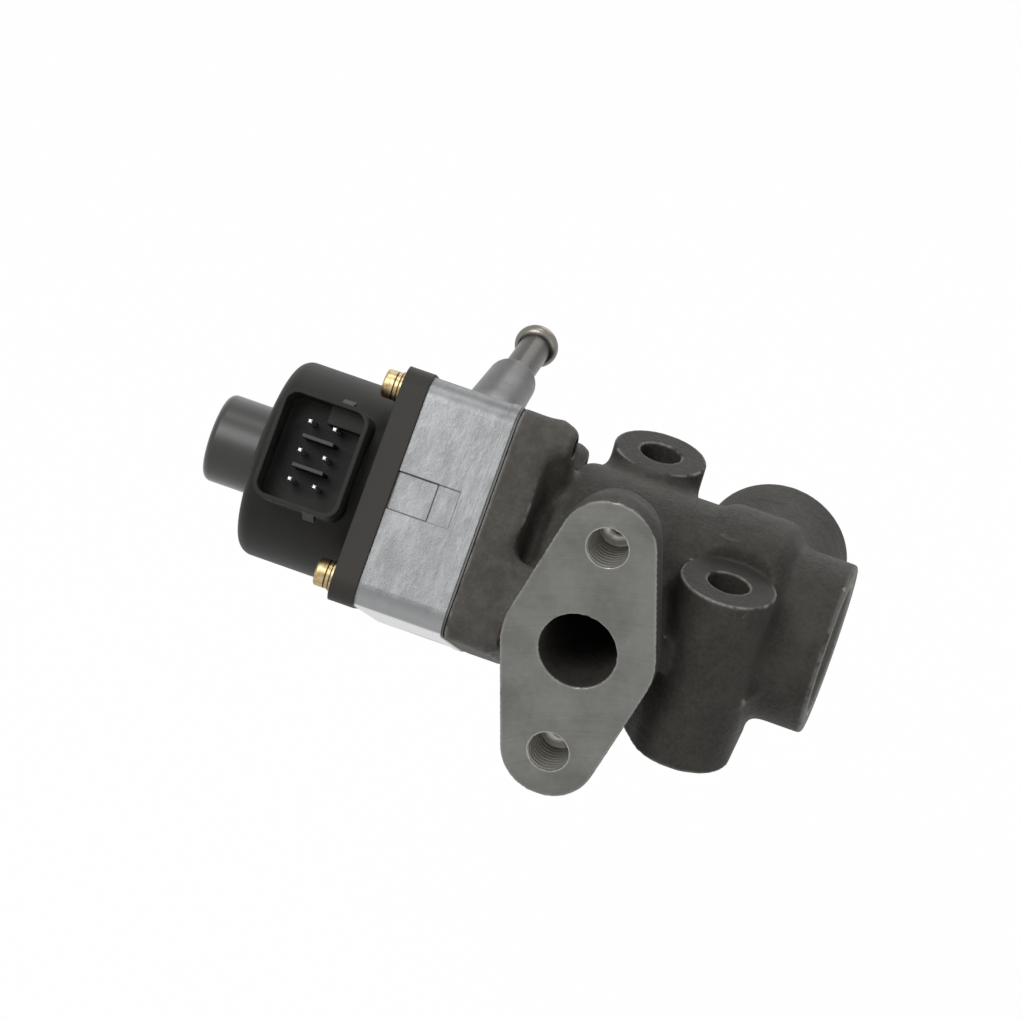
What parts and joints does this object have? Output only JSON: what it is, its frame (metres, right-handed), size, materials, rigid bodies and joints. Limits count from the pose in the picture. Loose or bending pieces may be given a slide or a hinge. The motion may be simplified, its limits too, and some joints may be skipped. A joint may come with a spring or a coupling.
{
  "type": "egr valve",
  "caption": "Water cooled exhaust gas recirculation valve: stepper motor, cooling spacer and cast iron body with a two-bolt inlet flange.",
  "frame": {"origin": "centre of the gas outlet on the mounting face", "axes": "+X along the valve axis away from the motor, -Y the way the inlet flange looks, +Z away from the mounting face"},
  "size_m": [0.1394, 0.0869, 0.0698],
  "materials": {
    "cast_iron_body": "as cast and grainy, machined faces a little lighter",
    "cast_aluminium": "satin die casting",
    "black_plastic": "glass filled, fine matt grain",
    "white_plastic": "natural moulded",
    "graphite_seal": "pressed graphite",
    "bronze_bush": "sintered",
    "steel_pipe": "dull plated tube",
    "yellow_zinc_steel": "yellow zinc plated",
    "bright_steel": "ground or pressed",
    "heat_steel": "heat resisting steel, turned",
    "spring_steel": "wound wire",
    "copper_wire": "enamelled copper",
    "ferrite_magnet": "sintered ferrite",
    "tinned_brass": "tin plated",
    "black_rubber": "moulded"
  },
  "bodies": {
    "housing": {"bearing_outer_ring": "bright_steel", "body_gasket": "bright_steel", "connector_pins": "tinned_brass", "coolant_inlet_pipe": "steel_pipe", "coolant_outlet_pipe": "steel_pipe", "cooling_spacer": "cast_aluminium", "end_core_plug": "heat_steel", "flat_washers": "yellow_zinc_steel", "front_bobbin": "white_plastic", "front_plate": "bright_steel", "front_stator_cover": "bright_steel", "front_stator_cup": "bright_steel", "front_winding": "copper_wire", "motor_housing": "black_plastic", "motor_o_ring": "black_rubber", "motor_screws": "yellow_zinc_steel", "rear_bobbin": "white_plastic", "rear_bush": "bronze_bush", "rear_stator_cover": "bright_steel", "rear_stator_cup": "bright_steel", "rear_winding": "copper_wire", "return_spring": "spring_steel", "seat_ring": "heat_steel", "side_core_plug": "heat_steel", "spring_seat": "bright_steel", "spring_washers": "yellow_zinc_steel", "stem_bush": "bronze_bush", "stem_seal": "graphite_seal", "valve_body": "cast_iron_body"},
    "rotor": {"rotor_hub": "white_plastic", "rotor_magnet": "ferrite_magnet", "bearing_inner_ring": "bright_steel", "bearing_balls": "bright_steel"},
    "screw": {"screw_shaft": "bright_steel"},
    "valve": {"valve_stem": "bright_steel", "valve_head": "heat_steel", "spring_retainer": "bright_steel", "stem_collets": "bright_steel"}
  },
  "joints": [
    {"name": "rotor_spin", "type": "hinge", "parent": "housing", "child": "rotor", "pos_m": [-0.09, 0, 0.0231], "axis": [1, 0, 0], "range_deg": [0, 810]},
    {"name": "screw_slide", "type": "slide", "parent": "housing", "child": "screw", "axis": [1, 0, 0], "range_m": [0, 0.0045]},
    {"name": "valve_lift", "type": "slide", "parent": "housing", "child": "valve", "axis": [1, 0, 0], "range_m": [0, 0.0045], "deforming": ["return_spring"]}
  ],
  "couplings": [
    {"joint": "rotor_spin", "follows": "screw_slide", "rad_per_m": 3141.6},
    {"joint": "valve_lift", "follows": "screw_slide", "ratio": 1}
  ]
}
